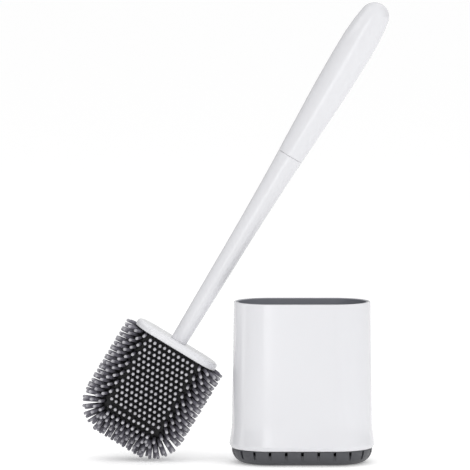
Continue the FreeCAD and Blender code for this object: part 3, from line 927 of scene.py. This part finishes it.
def edge_roots(sizes, point, out, angles, rake=0.0):
    """Roots and directions of the bristles that fan round one place on the head's edge, at angles
    from the front. A rake leans them down while their tips stay level with the place."""
    roots = []
    reach = sizes.tip_half - sizes.skin_half + sizes.sunk
    for degrees in angles:
        turn = math.radians(degrees)
        normal = FRONT * math.cos(turn) + out * math.sin(turn)
        direction = (normal - UP * math.tan(rake)).normalized()
        tip = point + normal * sizes.tip_half
        roots.append((tip - direction * reach, direction))
    return roots


# The side bristles' angles from the front, in degrees, in turn from one row to the next.
FRONT_FANS = ((5, 29, 53, 77), (17, 41, 65, 89))
REAR_FANS = ((98, 122, 146, 170), (110, 134, 158))
# Round the head's lower corners: rows, where the first one stands (in rows, front and rear), and
# the angles between which a corner bristle may lie.
CORNER_ROWS, CORNER_STARTS, CORNER_ANGLES = 6, (0.3, 0.75), (10, 165)
# Rows of the bottom field, from the front to the edge: angle, bristles and their spacing. The rows
# from the edge to the back mirror them.
BOTTOM_ROWS = (
    (6, 9, 0.0049), (22, 10, 0.0050), (37, 9, 0.0053),
    (51, 8, 0.0057), (66, 8, 0.0058), (81, 9, 0.0056),
)


def side_roots(sizes, side):
    """The left (-1) or right (1) field: its straight rows, then its fan round the corner."""
    roots = []
    corner = Vector((side * (sizes.bone_half_width - sizes.bone_corner), 0,
                     sizes.bone_corner - sizes.bone_drop))
    least, most = CORNER_ANGLES
    for rear, fans in enumerate((FRONT_FANS, REAR_FANS)):
        drops = row_drops(sizes, rear)
        for row, drop in enumerate(drops):
            point = Vector((side * sizes.bone_half_width, 0, -drop))
            roots += edge_roots(sizes, point, Vector((side, 0, 0)), fans[row % 2], sizes.side_rake)
        for row in range(CORNER_ROWS):
            turn = math.pi / 2 / CORNER_ROWS * (row + CORNER_STARTS[rear])
            out = Vector((side * math.cos(turn), 0, -math.sin(turn)))
            rake = sizes.side_rake * max(0.0, 1 - row / 2)
            fan = [degrees for degrees in fans[(row + len(drops)) % 2] if least < degrees < most]
            roots += edge_roots(sizes, corner + out * sizes.bone_corner, out, fan, rake)
    return roots


def bottom_roots(sizes):
    """The field under the head: rows that turn from the front, round the edge, to the back."""
    roots = []
    mirrored = tuple((180 - turn, count, pitch) for turn, count, pitch in BOTTOM_ROWS)
    for turn, count, pitch in BOTTOM_ROWS + mirrored:
        for across in spaced(count, pitch):
            point = Vector((across, 0, -sizes.bone_drop))
            out = Vector((across * sizes.bottom_fan / sizes.tip_half, 0, -1)).normalized()
            roots += edge_roots(sizes, point, out, (turn,))
    return roots


class BRUSHSET_OT_bristles(bpy.types.Operator):
    """Make the five fields of soft bristles that stand out of the head's skin"""

    bl_idname = "brush_set.bristles"
    bl_label = "Bristle Fields"

    def execute(self, context):
        sizes = context.scene.bristle_sizes
        tree = bristle_tree()
        place = brush_place(context)
        fields = {
            "front": face_roots(sizes, FRONT), "back": face_roots(sizes, BACK),
            "left": side_roots(sizes, -1), "right": side_roots(sizes, 1),
            "bottom": bottom_roots(sizes),
        }
        for offset, (name, roots) in enumerate(fields.items()):
            data = bpy.data.meshes.new(name + "_roots")
            data.from_pydata([place @ root for root, _ in roots], [], [])
            direction = data.attributes.new("direction", "FLOAT_VECTOR", "POINT")
            turn = place.to_3x3()
            direction.data.foreach_set("vector", [c for _, way in roots for c in turn @ way])
            # Painted shade: a bristle that faces down under the head gets less of the paler tip
            # colour.
            wear = data.attributes.new("wear", "FLOAT", "POINT")
            wear.data.foreach_set("value", [1 - sizes.shade * max(0.0, -way.z) for _, way in roots])
            piece = linked(name + "_field", data)
            add_tree_modifier(
                piece, tree, length=sizes.tip_half - sizes.skin_half + sizes.sunk,
                root_radius=sizes.root_radius, tip_radius=sizes.tip_radius, sides=sizes.sides,
                spread=sizes.spread, seed=sizes.seed + offset,
                material=material_of(context, "bristle_rubber"),
            )
            finish_piece(context, baked(piece), "brush", "bristle_rubber", name + "_bristles")
        return {"FINISHED"}


# ---- stage


def softbox(name, power, place, aim, width, height):
    """A soft rectangular light that the camera doesn't see."""
    data = bpy.data.lights.new(name, "AREA")
    data.shape = "RECTANGLE"
    data.size, data.size_y, data.energy = width, height, power
    light = linked(name, data)
    light.location = place
    light.rotation_euler = (Vector(aim) - Vector(place)).to_track_quat("-Z", "Y").to_euler()
    light.visible_camera = False


def floor_paint(studio):
    """Plain pale paint that glows a little, which keeps the floor an even white."""
    material, tree, shader = new_material("pale_floor")
    feed(tree, shader, {
        "Base Color": (0.96, 0.96, 0.96, 1), "Roughness": 0.9, "Specular IOR Level": 0.1,
        "Emission Color": (1, 1, 1, 1), "Emission Strength": studio.floor_glow,
    })
    return material


def studio_world(context, studio):
    """Soft surrounding light, brighter from above and from the right, on plain white."""
    world = bpy.data.worlds.new("studio")
    context.scene.world = world
    world.use_nodes = True
    tree = world.node_tree
    tree.nodes.clear()
    way = node(tree, "ShaderNodeTexCoord").outputs["Generated"]
    parts = node(tree, "ShaderNodeSeparateXYZ", {0: way}).outputs
    upwards = math_node(tree, "MULTIPLY_ADD", parts["Z"], studio.rise, studio.level)
    left = mapped(tree, parts["X"], -1.0, 0.3, studio.left_share, 1.0, "SMOOTHSTEP")
    right = mapped(tree, parts["X"], 0.25, 1.0, 1.0, studio.right_share, "SMOOTHSTEP")
    glow = math_node(tree, "MULTIPLY", upwards, math_node(tree, "MULTIPLY", left, right))
    around = node(tree, "ShaderNodeBackground", {"Color": (1, 1, 1, 1), "Strength": glow})
    white = node(tree, "ShaderNodeBackground", {"Color": (1, 1, 1, 1), "Strength": studio.ground})
    seen = node(tree, "ShaderNodeLightPath").outputs["Is Camera Ray"]
    mixed = node(tree, "ShaderNodeMixShader", {
        0: seen, 1: around, 2: white,
    })
    node(tree, "ShaderNodeOutputWorld", {"Surface": mixed})


# Softboxes: name, setting of the power, place, aim, width and height.
SOFTBOXES = (
    ("overhead", "top_power", (-0.9, -0.3, 1.6), (-0.1, 0, 0.1), 1.3, 1.3),
    ("right_box", "right_power", (1.64, -1.2, 0.9), (0, 0, 0.12), 1.4, 1.2),
    ("left_box", "left_power", (-0.44, -2.15, 0.7), (-0.44, 0, 0.7), 0.85, 1.4),
    ("side_box", "side_power", (-1.6, 0.05, 0.3), (-0.15, 0, 0.15), 0.5, 0.6),
)


class BRUSHSET_OT_stage(bpy.types.Operator):
    """Make the plain pale floor, the soft studio lights and the camera"""

    bl_idname = "brush_set.stage"
    bl_label = "Studio"

    def execute(self, context):
        studio = context.scene.studio_settings
        low, high = Vector(CAD_BOX[0]), Vector(CAD_BOX[1])
        middle = (low + high) / 2
        mesh = bmesh.new()
        bmesh.ops.create_grid(mesh, x_segments=1, y_segments=1, size=studio.floor_size)
        floor = solid("floor", mesh, Matrix.Translation((0, 0, low.z - studio.floor_gap)))
        floor.data.materials.append(floor_paint(studio))
        studio_world(context, studio)
        for name, power, *rest in SOFTBOXES:
            softbox(name, getattr(studio, power), *rest)
        camera = linked("camera", bpy.data.cameras.new("camera"))
        context.scene.camera = camera
        camera.data.lens = studio.lens
        camera.data.clip_end = 2.5 * studio.floor_size
        aim = Vector((middle.x, 0, middle.z - studio.aim_drop))
        back = Vector((0, -math.cos(studio.elevation), math.sin(studio.elevation)))
        camera.location = aim + back * studio.distance
        camera.rotation_euler = (-back).to_track_quat("-Z", "Y").to_euler()
        context.scene.view_settings.view_transform = "Standard"
        return {"FINISHED"}


# ---- add-on


class BRUSHSET_PT_panel(bpy.types.Panel):
    """The set's pieces, in the order in which they are made"""

    bl_idname = "BRUSHSET_PT_panel"
    bl_label = "Brush Set"
    bl_space_type = "VIEW_3D"
    bl_region_type = "UI"
    bl_category = "Brush Set"

    def draw(self, context):
        for operator in OPERATORS:
            self.layout.operator(operator.bl_idname)


OPERATORS = (
    BRUSHSET_OT_shell, BRUSHSET_OT_liner, BRUSHSET_OT_base, BRUSHSET_OT_grip, BRUSHSET_OT_rod,
    BRUSHSET_OT_plate, BRUSHSET_OT_sleeve, BRUSHSET_OT_bristles, BRUSHSET_OT_stage,
)
GROUPS = {
    "holder_sizes": HolderSizes, "brush_sizes": BrushSizes, "bristle_sizes": BristleSizes,
    "brush_finishes": Finishes, "studio_settings": StudioSettings,
}


def register():
    """Register the settings, the operators and the panel."""
    for name, group in GROUPS.items():
        bpy.utils.register_class(group)
        setattr(bpy.types.Scene, name, bpy.props.PointerProperty(type=group))
    for shown in OPERATORS + (BRUSHSET_PT_panel,):
        bpy.utils.register_class(shown)


def unregister():
    """Take them all out again."""
    for shown in reversed(OPERATORS + (BRUSHSET_PT_panel,)):
        bpy.utils.unregister_class(shown)
    for name, group in GROUPS.items():
        delattr(bpy.types.Scene, name)
        bpy.utils.unregister_class(group)


def main():
    """Make every piece and the studio."""
    register()
    for operator in OPERATORS:
        module, name = operator.bl_idname.split(".")
        getattr(getattr(bpy.ops, module), name)()


if __name__ == "__main__":
    main()
